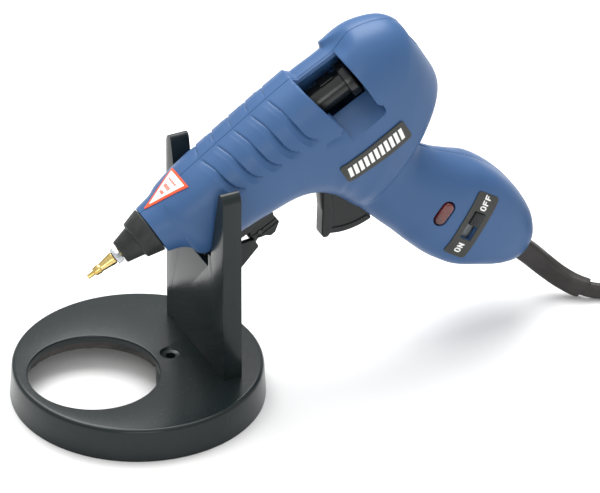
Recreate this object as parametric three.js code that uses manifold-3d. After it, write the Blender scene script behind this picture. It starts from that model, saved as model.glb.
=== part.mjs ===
// Hot glue gun resting in its fork stand. Millimetres, +Z up.
// Origin: on the table under the middle of the upright plate. +X runs from the nozzle
// towards the handle, +Y to the gun's right side. The table is z = 0.
// The gun is modelled in its own turned group: there x runs back along the barrel's axis
// from the nozzle tip, z is square to the barrel (up), and y is the same as the stand's.
import * as THREE from "three";
import { mergeVertices } from "three/addons/utils/BufferGeometryUtils.js";
import Module from "manifold-3d";

const wasm = await Module();
wasm.setup();

// ---- driving dimensions -------------------------------------------------------------
const TILT = THREE.MathUtils.degToRad(29.2); // barrel's slope, nozzle down
const TIP = [-63.5, 75.15]; // nozzle tip, x and z
const WALL = 2.5; // housing wall
const SPLIT = 0.15; // half the gap along the parting plane
const GAP = 0.3; // between neighbouring pieces

const BASE_X = -36.5; // centre of the round base
const BASE_R = 64;
const BASE_H = 18;
const BASE_SKIN = 2.6;
const DRIP_X = -60.75; // centre of the drip hole
const DRIP_R = 33;
const BENCH_X = -18.5; // screw hole to fasten the stand to a bench
const PLATE_T = 10; // upright plate
const PLATE_W = 68;
const PLATE_TOP = 125.5;
const FLOOR_Z = 75; // floor of the fork's slot
const SLOT_W = 32;
const SLOT_D = 7.5;
const SCREW_Y = 20; // screws that hold the upright

const STICK_R = 6.2; // feed bore for an 11.2 mm glue stick
const GUIDE_R = 7.75;
const PIVOT = [133.5, -44]; // trigger's pivot
const FIN_R = 36; // trigger fin's radius about the pivot
const HINGE = [82.5, -39]; // stand hook's pivot
const LAMP = [160.7, -93];
const SWITCH = [169.5, -110];
const SWITCH_TURN = THREE.MathUtils.degToRad(27);
const SLIDER_AT = 3.9; // slider's offset from the slot's middle, at OFF
const NAME_PLATE = [132, 171.5, -37, -24]; // from, to along the barrel; low, high

const CORD_W = 8.4; // flat twin cord, standing on its edge
const CORD_T = 4.4;
const SLEEVE_W = 11.2;
const SLEEVE_T = 7;
const COIL = [279.7, -1.8]; // middle of the coiled cord
const COIL_OUT = 50;
const COIL_IN = 34;
const COIL_H = 17.2;
const PLUG = [338.6, 33.2]; // beside the coil
const PLUG_TURN = THREE.MathUtils.degToRad(75);

// Housing stations along its bent spine. Each section runs from an outer point (top of
// the barrel, then back of the handle) to an inner point (belly, then front of the
// handle): outer x z, inner x z, half width, squareness, wall at the outer point, wall
// at the inner point.
const STATIONS = [
  [39.75, 12.3, 39.75, -14.1, 13.2, 2.0, 2.5, 2.5],
  [47, 13.0, 47, -17.5, 15.3, 2.0, 2.5, 3],
  [50, 13.4, 49.8, -20.5, 16.2, 2.1, 2.5, 5],
  [52.2, 13.7, 52.0, -26.0, 18, 2.3, 2.5, 8],
  [55, 14.1, 55, -27.6, 19.2, 2.4, 2.5, 2.5],
  [66, 15.8, 66, -28.6, 21, 2.4, 2.5, 2.5],
  [80, 17.3, 80, -29.5, 22, 2.4, 2.5, 2.5],
  [95, 18.8, 95, -31.7, 22.6, 2.4, 2.5, 2.5],
  [108, 20.0, 105, -33.6, 23, 2.4, 2.5, 2.5],
  [120, 21.2, 111.5, -36.5, 23, 2.4, 2.5, 2.5],
  [132, 22.1, 116, -40.0, 23.2, 2.4, 2.5, 2.5],
  [146, 22.8, 119, -43.5, 23.6, 2.4, 2.5, 2.5],
  [160, 23.0, 121, -46.5, 24, 2.4, 2.8, 2.5],
  [164.5, 26.0, 122, -48.0, 24.5, 2.4, 4.6, 2.5],
  [176, 25.0, 123.2, -50.5, 24.7, 2.4, 2.5, 2.5],
  [187, 21.0, 124.3, -53.0, 24.6, 2.4, 2.5, 2.5],
  [196, 14.0, 125.3, -55.5, 24, 2.4, 2.5, 2.5],
  [200.5, 4.0, 126.2, -58.0, 23.5, 2.4, 2.5, 2.5],
  [201.4, -8.0, 127.0, -60.5, 23, 2.4, 2.5, 2.5],
  [198.8, -21.0, 127.7, -63.0, 22, 2.4, 3, 2.5],
  [196.5, -32.0, 128.4, -65.5, 21, 2.4, 4.5, 2.5],
  [194.5, -40.0, 129.0, -68.0, 20, 2.5, 14, 2.5],
  [186, -46.0, 129.6, -70.5, 19.2, 2.5, 11, 2.5],
  [177.8, -51.5, 130.3, -73.0, 18.4, 2.6, 4, 2.5],
  [174.8, -60.0, 131.2, -77.0, 17.6, 2.6, 2.8, 2.5],
  [178, -70.0, 132.7, -83.0, 17.5, 2.7, 2.8, 2.5],
  [185.5, -82.0, 134.8, -92.0, 18, 2.8, 2.8, 2.5],
  [191, -93.0, 137.0, -102.0, 18.8, 2.8, 2.5, 2.5],
  [195, -108.0, 140.3, -115.0, 19.3, 2.8, 2.5, 2.5],
  [196.7, -124.0, 145.5, -128.0, 19, 2.8, 2.5, 2.5],
  [194.5, -141.0, 155.5, -141.0, 17.3, 2.6, 2.5, 2.5],
  [189, -150.5, 165, -150.5, 13.5, 2.4, 3.5, 3.5],
  [183, -155.0, 171.5, -155.0, 8.5, 2.2, 2.5, 2.5],
  [179, -156.5, 175.5, -156.5, 3, 2, 1, 1],
];

// Window over the feed carriage, in the left side: x and z.
const WINDOW = [
  [139.6, 40], [145.4, -7.6], [145.4, -11.8], [152, -12.8], [158, -13.4], [161.5, -13.1],
  [164.4, -11], [164.4, 40],
];
// Sloping floor of the window's scoop, from beside the carriage out to the wall: y and z.
const CHUTE = [[-8.2, -7.2], [-24.4, -13.5], [-24.4, -15.3], [-8.2, -9]];

// Screws that close the housing: x and z in the gun's frame.
const HOUSING_SCREWS = [
  [72, -21.5], [108, -25.5], [122, 14.2], [186, -33.5], [146, -88.5], [164, -139],
];

// ---- materials ----------------------------------------------------------------------
const mat = (color, roughness, metalness = 0) =>
  new THREE.MeshStandardMaterial({ color, roughness, metalness });
const BLUE = () => mat(0x456a9c, 0.5);
const BLACK = () => mat(0x2c2f2f, 0.4);
const DARK = () => mat(0x3a3a39, 0.6);
const STEEL = () => mat(0xb9bdc0, 0.3, 1);
const BRASS = () => mat(0xc9a75a, 0.3, 1);
const ALUMINIUM = () => mat(0xc6c8ca, 0.4, 1);

// ---- scene graph --------------------------------------------------------------------
const root = new THREE.Group();
const gun = new THREE.Group();
gun.position.set(TIP[0], 0, TIP[1]);
gun.rotation.y = -TILT;
root.add(gun);

const put = (parent, name, solidOrGeometry, material) => {
  const g = solidOrGeometry.isBufferGeometry ? solidOrGeometry : geometryOf(solidOrGeometry);
  const m = new THREE.Mesh(g, material);
  m.name = name;
  parent.add(m);
  return m;
};

// ---- solids -------------------------------------------------------------------------
// A closed geometry as a solid with its faces pointing out.
function solid(geometry) {
  let g = geometry.index ? geometry.toNonIndexed() : geometry.clone();
  g.deleteAttribute("normal");
  g.deleteAttribute("uv");
  g = mergeVertices(g, 1e-4);
  const p = g.attributes.position;
  const at = (i) => new THREE.Vector3().fromBufferAttribute(p, i);
  const tri = [];
  let volume = 0;
  for (let i = 0; i < g.index.count; i += 3) {
    const [a, b, c] = [g.index.getX(i), g.index.getX(i + 1), g.index.getX(i + 2)];
    if (a === b || b === c || c === a) continue;
    tri.push([a, b, c]);
    volume += at(a).dot(at(b).cross(at(c)));
  }
  const triVerts = Uint32Array.from(tri.flatMap(([a, b, c]) => (volume < 0 ? [a, c, b] : [a, b, c])));
  return new wasm.Manifold(
    new wasm.Mesh({ numProp: 3, vertProperties: Float32Array.from(p.array), triVerts }),
  );
}

function geometryOf(s) {
  const m = s.getMesh();
  const g = new THREE.BufferGeometry();
  g.setAttribute("position", new THREE.BufferAttribute(Float32Array.from(m.vertProperties), 3));
  g.setIndex(new THREE.BufferAttribute(Uint32Array.from(m.triVerts), 1));
  return g;
}

const join = (...all) => all.reduce((a, b) => a.add(b));
const cut = (s, ...tools) => tools.reduce((a, b) => a.subtract(b), s);

// Polygon in the x-z plane, extruded from y = y0 to y1.
function prism(points, y0, y1) {
  const shape = new THREE.Shape(points.map(([x, z]) => new THREE.Vector2(x, z)));
  const g = new THREE.ExtrudeGeometry(shape, { depth: y1 - y0, bevelEnabled: false });
  return solid(g.rotateX(Math.PI / 2).translate(0, y1, 0));
}

// Polygon in the y-z plane, extruded from x = x0 to x1.
function plate(points, x0, x1) {
  const shape = new THREE.Shape(points.map(([y, z]) => new THREE.Vector2(y, z)));
  const g = new THREE.ExtrudeGeometry(shape, { depth: x1 - x0, bevelEnabled: false });
  return solid(g.rotateX(Math.PI / 2).rotateZ(Math.PI / 2).translate(x0, 0, 0));
}

function box(x0, x1, y0, y1, z0, z1) {
  const g = new THREE.BoxGeometry(x1 - x0, y1 - y0, z1 - z0);
  return solid(g.translate((x0 + x1) / 2, (y0 + y1) / 2, (z0 + z1) / 2));
}

// Round bar between two points.
function bar(r, from, to, sides = 16) {
  const [a, b] = [new THREE.Vector3(...from), new THREE.Vector3(...to)];
  const d = b.clone().sub(a);
  const g = new THREE.CylinderGeometry(r, r, d.length(), sides);
  g.applyQuaternion(new THREE.Quaternion().setFromUnitVectors(new THREE.Vector3(0, 1, 0), d.normalize()));
  const mid = a.add(b).multiplyScalar(0.5);
  return solid(g.translate(mid.x, mid.y, mid.z));
}

// Profile of [radius, place along x] turned about the x axis.
function turned(profile, sides = 28) {
  const g = new THREE.LatheGeometry(profile.map(([r, x]) => new THREE.Vector2(r, x)), sides);
  return solid(g.rotateZ(-Math.PI / 2));
}

// Profile of [radius, z] turned about a vertical axis at (x, y).
function turnedUp(profile, x = 0, y = 0, sides = 28) {
  const g = new THREE.LatheGeometry(profile.map(([r, z]) => new THREE.Vector2(r, z)), sides);
  return solid(g.rotateX(Math.PI / 2).translate(x, y, 0));
}

// Closed body through rings of points that have equal counts, with flat ends.
function loft(rings) {
  const n = rings[0].length;
  const pos = rings.flatMap((ring) => ring.flatMap((p) => [p.x, p.y, p.z]));
  const index = [];
  for (let i = 0; i + 1 < rings.length; i++)
    for (let j = 0; j < n; j++) {
      const [a, b] = [i * n + j, i * n + ((j + 1) % n)];
      index.push(a, b, a + n, b, b + n, a + n);
    }
  for (const [ring, start, turn] of [[rings[0], 0, 1], [rings.at(-1), (rings.length - 1) * n, 0]]) {
    const mid = ring.reduce((s, p) => s.add(p), new THREE.Vector3()).divideScalar(n);
    const m = pos.length / 3;
    pos.push(mid.x, mid.y, mid.z);
    for (let j = 0; j < n; j++) {
      const [a, b] = [start + j, start + ((j + 1) % n)];
      index.push(...(turn ? [m, b, a] : [m, a, b]));
    }
  }
  const g = new THREE.BufferGeometry();
  g.setAttribute("position", new THREE.Float32BufferAttribute(pos, 3));
  g.setIndex(index);
  return solid(g);
}

// ---- housing shape ------------------------------------------------------------------
// Half section of a station: a superellipse from the outer point round to the inner one.
// inset moves it inwards by that share of the wall; plane is where it meets the parting.
function halfSection(st, side, inset, plane, count) {
  const [ox, oz, ix, iz, w, p, wo, wi] = st;
  const line = new THREE.Vector2(ix - ox, iz - oz);
  const long = line.length();
  line.normalize();
  const from = inset * wo;
  const half = (long - inset * (wo + wi)) / 2;
  const width = Math.max(w - inset * WALL, 0.4);
  const ring = [];
  for (let k = 0; k <= count; k++) {
    const f = (Math.PI * k) / count;
    const c = Math.sign(Math.cos(f)) * Math.abs(Math.cos(f)) ** (2 / p);
    const s = Math.abs(Math.sin(f)) ** (2 / p);
    const t = from + half - half * (k === 0 ? 1 : k === count ? -1 : c);
    ring.push(new THREE.Vector3(
      ox + line.x * t,
      side * (plane + (width - plane) * (k === 0 || k === count ? 0 : s)),
      oz + line.y * t,
    ));
  }
  return ring;
}

// The housing's half width over a point of the parting plane.
function sideAt(x, z) {
  for (let i = STATIONS.length - 2; i >= 0; i--)
    for (let j = 15; j >= 0; j--) {
      const at = (u) => STATIONS[i].map((v, k) => v + (STATIONS[i + 1][k] - v) * u);
      const [a, b] = [at(j / 16), at((j + 1) / 16)];
      const off = (s) => (s[2] - s[0]) * (z - s[1]) - (s[3] - s[1]) * (x - s[0]);
      const [da, db] = [off(a), off(b)];
      if (da * db > 0) continue;
      const u = da === db ? 0 : da / (da - db);
      const s = a.map((v, k) => v + (b[k] - v) * u);
      const long = Math.hypot(s[2] - s[0], s[3] - s[1]);
      const t = ((x - s[0]) * (s[2] - s[0]) + (z - s[1]) * (s[3] - s[1])) / long / long;
      if (t < 0 || t > 1) continue;
      return s[4] * (1 - Math.abs(2 * t - 1) ** s[5]) ** (1 / s[5]);
    }
  throw new Error(`no housing over ${x}, ${z}`);
}

// Oblong outline with round ends, centred at c, long axis turned by turn.
function oblong(c, long, wide, turn, steps = 6) {
  const points = [];
  for (const end of [0, 1])
    for (let k = 0; k <= steps; k++) {
      const f = Math.PI * (end + k / steps) - Math.PI / 2;
      const u = (long / 2 - wide / 2) * (end ? -1 : 1) + (wide / 2) * Math.cos(f);
      const v = (wide / 2) * Math.sin(f);
      points.push([
        c[0] + u * Math.cos(turn) - v * Math.sin(turn),
        c[1] + u * Math.sin(turn) + v * Math.cos(turn),
      ]);
    }
  return points;
}

function rectangle(c, long, wide, turn) {
  return [[-1, -1], [1, -1], [1, 1], [-1, 1]].map(([i, j]) => {
    const [u, v] = [(i * long) / 2, (j * wide) / 2];
    return [
      c[0] + u * Math.cos(turn) - v * Math.sin(turn),
      c[1] + u * Math.sin(turn) + v * Math.cos(turn),
    ];
  });
}

// Thin sheet lying over the left side of the housing, from a grid of places.
function sideSheet(place, nu, nv, from, to) {
  const rings = [];
  for (let i = 0; i <= nu; i++) {
    const ring = [];
    for (let j = 0; j <= nv; j++) {
      const [x, z] = place(i / nu, j / nv);
      ring.push(new THREE.Vector3(x, -sideAt(x, z) - from, z));
    }
    for (let j = nv; j >= 0; j--) {
      const [x, z] = place(i / nu, j / nv);
      ring.push(new THREE.Vector3(x, -sideAt(x, z) - to, z));
    }
    rings.push(ring);
  }
  return loft(rings);
}

// ---- stand --------------------------------------------------------------------------
function stand() {
  const r = BASE_R;
  const skin = BASE_H - BASE_SKIN;
  const shell = turnedUp([
    [0, skin], [r - 3.6, skin], [r - 2.8, skin - 1.2], [r - 2.6, 0], [r, 0], [r - 0.9, BASE_H - 2.4],
    [r - 1.6, BASE_H - 0.8], [r - 3.2, BASE_H], [0, BASE_H],
  ], BASE_X, 0, 52);
  const hole = turnedUp([[0, -1], [DRIP_R, -1], [DRIP_R, 30], [0, 30]], DRIP_X, 0, 40);
  const rim = turnedUp([
    [DRIP_R - 0.5, skin - 3], [DRIP_R + 2, skin - 3], [DRIP_R + 2, skin + 1], [DRIP_R - 0.5, skin + 1],
    [DRIP_R - 0.5, skin - 3],
  ], DRIP_X, 0, 40);
  const post = (x, y, rr) => bar(rr, [x, y, 0], [x, y, skin + 0.5], 14);
  const bore = (x, y, rr, z0, z1) => bar(rr, [x, y, z0], [x, y, z1], 12);
  const base = cut(
    join(shell, rim, post(0, 0, 9), post(BENCH_X, 0, 7.5), post(0, SCREW_Y, 6), post(0, -SCREW_Y, 6)),
    hole,
    bore(BENCH_X, 0, 2.5, -1, 30), bore(BENCH_X, 0, 5, BASE_H - 1.6, 30),
    bore(0, SCREW_Y, 2.1, -1, 30), bore(0, -SCREW_Y, 2.1, -1, 30),
    bore(0, SCREW_Y, 4.1, -1, 4), bore(0, -SCREW_Y, 4.1, -1, 4),
  );
  put(root, "stand_base", base, BLACK());

  const plateOutline = [];
  const half = PLATE_W / 2;
  const prong = [
    [half, BASE_H + GAP], [half, PLATE_TOP - 4.5], [half - 0.8, PLATE_TOP - 1.8],
    [half - 2.4, PLATE_TOP - 0.3], [half - 4, PLATE_TOP], [half - 5.2, PLATE_TOP - 0.7],
    [half - 5.9, PLATE_TOP - 2.2], [19, FLOOR_Z + SLOT_D], [SLOT_W / 2, FLOOR_Z + SLOT_D],
    [SLOT_W / 2, FLOOR_Z],
  ];
  plateOutline.push(...prong, ...prong.map(([y, z]) => [-y, z]).reverse());
  const upright = cut(
    plate(plateOutline, -PLATE_T / 2, PLATE_T / 2),
    bore(0, SCREW_Y, 1.8, 0, BASE_H + 15), bore(0, -SCREW_Y, 1.8, 0, BASE_H + 15),
  );
  put(root, "stand_upright", upright, BLACK());

  const weight = cut(
    turnedUp([[0, 9], [BASE_R - 4.6, 9], [BASE_R - 4.6, skin - GAP], [0, skin - GAP]], BASE_X, 0, 36),
    turnedUp([[0, 0], [DRIP_R + 2.6, 0], [DRIP_R + 2.6, 30], [0, 30]], DRIP_X, 0, 28),
    bore(0, 0, 9.5, 0, 30), bore(BENCH_X, 0, 8, 0, 30),
    bore(0, SCREW_Y, 6.5, 0, 30), bore(0, -SCREW_Y, 6.5, 0, 30),
  );
  put(root, "base_weight", weight, mat(0x4a4a4a, 0.7, 0.6));

  [SCREW_Y, -SCREW_Y].forEach((y, i) =>
    put(root, `upright_screw_${i + 1}`, turnedUp([
      [0, 1], [3.5, 1], [3.5, 3.6], [1.5, 3.6], [1.5, BASE_H + 13], [0, BASE_H + 14.2],
    ], 0, y, 14), STEEL()));
}

// ---- gun ----------------------------------------------------------------------------
function housings() {
  const slot = rectangle(SWITCH, 15.5, 6.6, SWITCH_TURN);
  const throat = [[108, -43], [115, -35], [126, -38], [138, -58], [142, -84], [127, -84.5], [106, -80]];
  const [px, pz] = PIVOT;
  for (const [name, side, material] of [["housing_left", -1, BLUE()], ["housing_right", 1, BLUE()]]) {
    const outer = loft(STATIONS.map((st) => halfSection(st, side, 0, SPLIT, 9)));
    const inside = STATIONS.slice(0, -1).map((st, i) => {
      const s = [...st];
      if (i === 0) s[0] = s[2] = s[0] - 2;
      return halfSection(s, side, 1, -1.2, 6);
    });
    const posts = [];
    for (const [x, z] of HOUSING_SCREWS)
      posts.push(bar(3.4, [x, side * SPLIT, z], [x, side * 40, z], 8));
    posts.push(bar(4.4, [px, side * 11.3, pz], [px, side * 40, pz], 12));
    let shell = outer.subtract(cut(loft(inside), ...posts));
    for (const [x, z] of HOUSING_SCREWS) {
      if (side < 0) shell = shell.subtract(bar(1.5, [x, 2, z], [x, -12, z], 8));
      else {
        const w = sideAt(x, z);
        shell = cut(shell, bar(1.8, [x, -2, z], [x, 40, z], 8), bar(3.1, [x, w - 4, z], [x, 40, z], 12));
      }
    }
    shell = cut(shell,
      bar(2.3, [px, -14, pz], [px, 14, pz], 12), // trigger pin's seats
      prism(throat, -8.6, 8.6), // the trigger comes out here
      turned([[0, 190], [GUIDE_R + 0.35, 190], [GUIDE_R + 0.35, 215], [0, 215]], 24), // stick inlet
      sleeveHole(),
    );
    if (side < 0)
      shell = cut(shell,
        prism(WINDOW, -40, -3),
        prism(oblong(LAMP, 13.4, 7, SWITCH_TURN - 0.1), -30, -10),
        prism(slot, -30, -10),
      );
    if (side < 0) shell = join(shell, outer.intersect(plate(CHUTE, 144, 166)));
    put(gun, name, shell, material);
  }
  HOUSING_SCREWS.forEach(([x, z], i) => {
    const w = sideAt(x, z);
    const g = turned([[0, -10], [1.2, -9], [1.2, w - 3.7], [2.8, w - 3.7], [2.8, w - 1.6], [0, w - 1.6]], 10);
    put(gun, `housing_screw_${i + 1}`, geometryOf(g).rotateZ(Math.PI / 2).translate(x, 0, z), STEEL());
  });
}

function barrelParts() {
  put(gun, "nozzle", turned([
    [0.55, 0], [1.15, 0.25], [1.2, 4], [2.1, 4.15], [2.45, 6.6], [2.45, 7.4], [2.15, 8], [3.2, 15], [3.2, 16.2],
    [2.6, 16.4], [2.6, 27], [1.8, 27], [1.8, 18], [0.55, 4], [0.55, 0],
  ], 16), BRASS());
  const nut = cut(turned([[0, 16.6], [4.75, 16.6], [4.75, 20], [0, 20]], 6), bar(2.95, [10, 0, 0], [30, 0, 0], 16));
  put(gun, "nozzle_nut", nut, STEEL());
  put(gun, "nozzle_boot", turned([
    [5.5, 20.3], [6.2, 20.6], [8.3, 29.6], [10.2, 30.2], [12.3, 38.4], [12.3, 39.3], [9.3, 39.4],
    [9.3, 46], [8.7, 46], [8.7, 33], [5.5, 24.5], [5.5, 20.3],
  ], 24), mat(0x343737, 0.7));
  put(gun, "heating_chamber", turned([
    [2.95, 20.5], [4.9, 20.5], [4.9, 24], [8, 34], [8, 125], [STICK_R, 125], [STICK_R, 46], [3, 36],
    [3, 27.6], [2.95, 27.6], [2.95, 20.5],
  ], 20), ALUMINIUM());
  const support = (x) => {
    const i = STATIONS.findIndex((s, k) => s[0] <= x && STATIONS[k + 1][0] > x);
    const u = (x - STATIONS[i][0]) / (STATIONS[i + 1][0] - STATIONS[i][0]);
    const s = STATIONS[i].map((v, k) => v + (STATIONS[i + 1][k] - v) * u);
    const [mid, half, w] = [(s[1] + s[3]) / 2, (s[1] - s[3]) / 2 - 3.6, s[4] - 3.6];
    const ring = [];
    for (let k = 0; k < 20; k++) {
      const f = (Math.PI * 2 * k) / 20;
      const [c, e] = [Math.cos(f), Math.sin(f)];
      ring.push([w * Math.sign(c) * Math.abs(c) ** 0.9, mid + half * Math.sign(e) * Math.abs(e) ** 0.9]);
    }
    return plate(ring, x, x + 3).subtract(turned([[0, 0], [8.35, 0], [8.35, 130], [0, 130]], 20));
  };
  put(gun, "chamber_support_front", support(57.5), DARK());
  put(gun, "chamber_support_rear", support(98), DARK());
  put(gun, "heater_cartridge", box(62, 96, -6, 6, -15, -8.4), mat(0xd8d2c4, 0.7));
  put(gun, "inlet_sleeve", turned([
    [8.35, 112], [10.2, 112], [10.2, 127], [8.35, 127], [8.35, 112],
  ], 20), mat(0x9a4a3a, 0.7));
  put(gun, "inlet_clamp", turned([
    [10.5, 112.6], [11.4, 112.6], [11.4, 116.4], [10.5, 116.4], [10.5, 112.6],
  ], 20), STEEL());
  const bore = turned([[0, 100], [STICK_R, 100], [STICK_R, 210], [0, 210]], 24);
  put(gun, "feed_carriage", cut(join(
    turned([[0, 141], [GUIDE_R, 141], [GUIDE_R, 161], [0, 161]], 24),
    turned([[0, 160], [10.2, 160], [10.2, 165], [0, 165]], 24),
    box(160, 165, 0, 12, -11, 3),
  ), bore), mat(0x1e2021, 0.3));
  put(gun, "carriage_grip", box(149, 157, -3, 3, GUIDE_R + GAP, 11.2), mat(0x8d9195, 0.35, 1));
  put(gun, "stick_guide_tube", cut(
    turned([[0, 168.5], [GUIDE_R, 168.5], [GUIDE_R, 201.2], [0, 201.2]], 24), bore), mat(0x1e2021, 0.35));
}

function trigger() {
  const [px, pz] = PIVOT;
  const arc = [229, 238, 248, 258, 268].map((d) => {
    const f = THREE.MathUtils.degToRad(d);
    return [px + FIN_R * Math.cos(f), pz + FIN_R * Math.sin(f)];
  });
  const fin = prism([
    [px - 4, pz + 5], [119.5, -43.2], [113, -55], [107.5, -69.5], ...arc, [137, -60], [139, -46], [px + 1, pz + 5.4],
  ], -5.4, 5.4);
  const rib = prism([
    [122, -41.6], [119, -43.6], [112.6, -54.6], [107.6, -64], [104.9, -70.6], [105.6, -73], [107.9, -74],
    [110.8, -72.9], [115.6, -64], [121, -52], [126, -43],
  ], -8, 8);
  const hub = bar(5.4, [px, -10.6, pz], [px, 10.6, pz], 16);
  const arm = (y0, y1) => prism([
    [131, -40], [146.5, -34.5], [157.5, -26.5], [164.4, -17.5], [165.8, -9.5], [166.8, -6.2], [169.4, -5.7],
    [170.8, -8], [170.4, -15], [166.5, -23], [158, -34], [148.5, -41], [137, -47],
  ], y0, y1);
  const body = cut(join(fin, rib, hub, arm(8.4, 10.6)), bar(2.4, [px, -20, pz], [px, 20, pz], 12));
  put(gun, "trigger", body, mat(0x262829, 0.45));
  put(gun, "trigger_pin", bar(2, [px, -13.6, pz], [px, 13.6, pz], 12), STEEL());

  // Extension spring from the trigger's arm back to a screw post.
  class Helix extends THREE.Curve {
    getPoint(t, target = new THREE.Vector3()) {
      const f = t * Math.PI * 2 * 7;
      return target.set(160.6 + 20.8 * t, 9.5 + 1.7 * Math.sin(f), -33.5 + 1.7 * Math.cos(f));
    }
  }
  const wire = new THREE.Shape([0, 1, 2, 3].map((k) =>
    new THREE.Vector2(0.4 * Math.cos((k * Math.PI) / 2), 0.4 * Math.sin((k * Math.PI) / 2))));
  put(gun, "return_spring", solid(new THREE.ExtrudeGeometry(wire, {
    steps: 49, bevelEnabled: false, extrudePath: new Helix(),
  })), STEEL());
}

function sideParts() {
  const c = Math.cos(SWITCH_TURN);
  const s = Math.sin(SWITCH_TURN);
  put(gun, "switch_body", prism(rectangle(SWITCH, 28, 12.5, SWITCH_TURN), -13.6, -2.5), DARK());
  const at = [SWITCH[0] + SLIDER_AT * c, SWITCH[1] + SLIDER_AT * s];
  put(gun, "switch_slider", prism(rectangle(at, 7.2, 5.8, SWITCH_TURN), -sideAt(...at) - 1.3, -13.9), BLACK());
  const onLabel = (u, v) => {
    const [x, z] = [(u - 0.5) * 36.6, (v - 0.5) * 13.2];
    return [SWITCH[0] + x * c - z * s, SWITCH[1] + x * s + z * c];
  };
  put(gun, "switch_label", cut(
    sideSheet(onLabel, 9, 3, 0.4, 0.9),
    prism(rectangle(SWITCH, 15.7, 6.8, SWITCH_TURN), -30, -10),
  ), mat(0x3c3e3c, 0.5));
  const [x0, x1, z0, z1] = NAME_PLATE;
  put(gun, "name_plate", sideSheet((u, v) => [x0 + (x1 - x0) * u, z0 + (z1 - z0) * v], 8, 3, 0.5, 1.1),
    mat(0x2a2c2d, 0.45));
  const top = sideAt(...LAMP);
  put(gun, "lamp_lens", join(
    prism(oblong(LAMP, 12.8, 6.4, SWITCH_TURN - 0.1), -top - 0.6, -top + 3.4),
    prism(oblong(LAMP, 11, 4.8, SWITCH_TURN - 0.1), -top - 1.3, -top + 3.4),
  ), mat(0x7e2f2c, 0.25));
  put(gun, "lamp_bulb", bar(2.2, [LAMP[0] - 4.5, -top + 6.4, LAMP[1] - 2], [LAMP[0] + 4.5, -top + 6.4, LAMP[1] + 2], 12),
    mat(0xe0d2c8, 0.2));

  // Warning triangle over the barrel's top, apex towards the nozzle.
  const rows = [];
  for (let i = 0; i <= 6; i++) {
    const x = 43 + (23 * i) / 6;
    const k = STATIONS.findIndex((st, q) => st[0] <= x && STATIONS[q + 1][0] > x);
    const u = (x - STATIONS[k][0]) / (STATIONS[k + 1][0] - STATIONS[k][0]);
    const st = STATIONS[k].map((v, q) => v + (STATIONS[k + 1][q] - v) * u);
    const [mid, half, w, p] = [(st[1] + st[3]) / 2, (st[1] - st[3]) / 2, st[4], st[5]];
    const over = (y, out) =>
      new THREE.Vector3(x, y, mid + (half + out) * (1 - Math.abs(y / (w + out)) ** p) ** (1 / p));
    const wide = 0.4 + (7.6 * i) / 6;
    const ys = [-1, -0.5, 0, 0.5, 1].map((f) => f * wide);
    rows.push([...ys.map((y) => over(y, 0.35)), ...ys.reverse().map((y) => over(y, 0.8))]);
  }
  put(gun, "warning_label", loft(rows), mat(0xf2efe9, 0.5));
}

function bracket() {
  const [hx, hz] = HINGE;
  const mount = cut(
    join(
      prism([
        [53.6, -28.6], [55, -28.1], [66, -29.1], [80, -30], [93.5, -32], [93.5, -35.6], [62.6, -35.2],
        [60, -33.3], [52.9, -29.3],
      ], -7, 7),
      prism([
        [78.6, -34.9], [93.5, -35], [93.5, -43.2], [91.5, -44.3], [82, -44.6], [78.4, -43], [77, -39.5],
      ], -7, 7),
    ),
    box(70, 89.5, -4.1, 4.1, -50, -35.5),
    bar(1.7, [hx, -9, hz], [hx, 9, hz], 12),
  );
  put(gun, "hook_mount", mount, BLACK());
  const foot = prism([
    [49.2, -53.7], [50.2, -54.2], [62.9, -50.6], [73.6, -47.4], [73.8, -39.4], [70.7, -37], [60.4, -36.1],
    [58.8, -36.8],
  ], -6.5, 6.5);
  const tongue = prism([
    [72, -46.6], [80, -44.4], [83, -43.2], [85, -41.2], [85.7, -39], [84.8, -36.9], [82.9, -35.95],
    [80, -36.7], [76, -38.6], [72, -38.8],
  ], -3.8, 3.8);
  put(gun, "stand_hook", cut(join(foot, tongue), bar(1.8, [hx, -9, hz], [hx, 9, hz], 12)), BLACK());
  put(gun, "hook_pin", bar(1.4, [hx, -7.4, hz], [hx, 7.4, hz], 12), STEEL());
}

// ---- cord ---------------------------------------------------------------------------
// The cord's route in the stand's frame: out of the handle's butt, down on to the table
// and away to the coil.
const ROUTE = [
  [157, 0, 42], [168, -0.4, 34.3], [178.5, -1.2, 25], [186.5, -4.2, 16.6], [193.5, -9.6, 10.4],
  [200, -15.6, 6.9], [206.5, -20.2, 5.1], [213, -23.2, 4.5], [222, -27.4, 4.4], [237.3, -34.7, 4.4],
].map((p) => new THREE.Vector3(...p));
const route = new THREE.CatmullRomCurve3(ROUTE, false, "centripetal");
const SLEEVE_ENDS = [0.1, 0.62]; // shares of the route that the sleeve covers

// Flat section swept along part of the route, its wide side upright.
function flat(from, to, wide, thick, steps, sides, widen = 0) {
  const rings = [];
  for (let i = 0; i <= steps; i++) {
    const t = from + ((to - from) * i) / steps;
    const at = route.getPointAt(t);
    const along = route.getTangentAt(t);
    const across = new THREE.Vector3().crossVectors(along, new THREE.Vector3(0, 0, 1)).normalize();
    const up = new THREE.Vector3().crossVectors(across, along).normalize();
    const grow = 1 + widen * (1 - i / steps);
    const ring = [];
    for (let k = 0; k < sides; k++) {
      const f = (Math.PI * 2 * k) / sides;
      const [c, s] = [Math.cos(f), Math.sin(f)];
      ring.push(at.clone()
        .addScaledVector(up, (wide / 2) * grow * Math.sign(c) * Math.abs(c) ** 0.6)
        .addScaledVector(across, (thick / 2) * grow * Math.sign(s) * Math.abs(s) ** 0.6));
    }
    rings.push(ring);
  }
  return loft(rings);
}

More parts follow.
